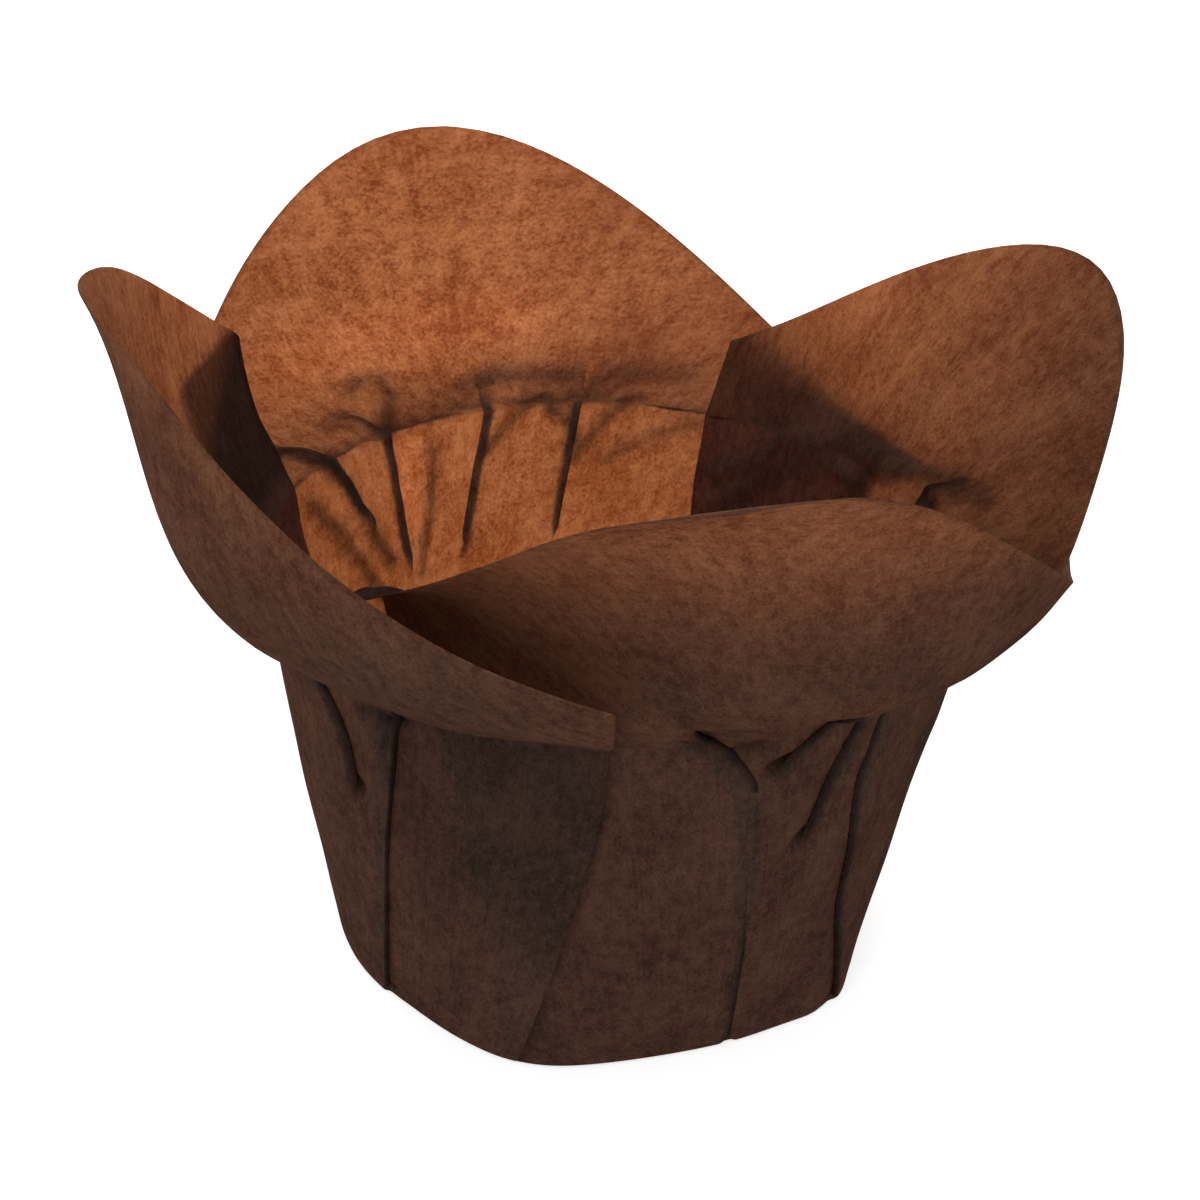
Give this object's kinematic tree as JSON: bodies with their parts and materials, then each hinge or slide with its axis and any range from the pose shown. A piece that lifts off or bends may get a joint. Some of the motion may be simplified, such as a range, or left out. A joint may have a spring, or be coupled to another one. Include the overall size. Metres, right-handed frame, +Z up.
{
  "type": "cupcake liner",
  "caption": "Lotus-style paper baking cup: flat round base, tapered pleated wall, flared rounded petals that overlap at slits.",
  "frame": {"origin": "centre of the base disc's underside, which rests on the table", "axes": "+Z up out of the cup's mouth, -Y towards the front petal, +X towards the right petal"},
  "size_m": [0.1016, 0.1058, 0.0761],
  "materials": {
    "paper": "matt brown greaseproof paper"
  },
  "bodies": {
    "root": {"liner": "paper"}
  },
  "joints": []
}
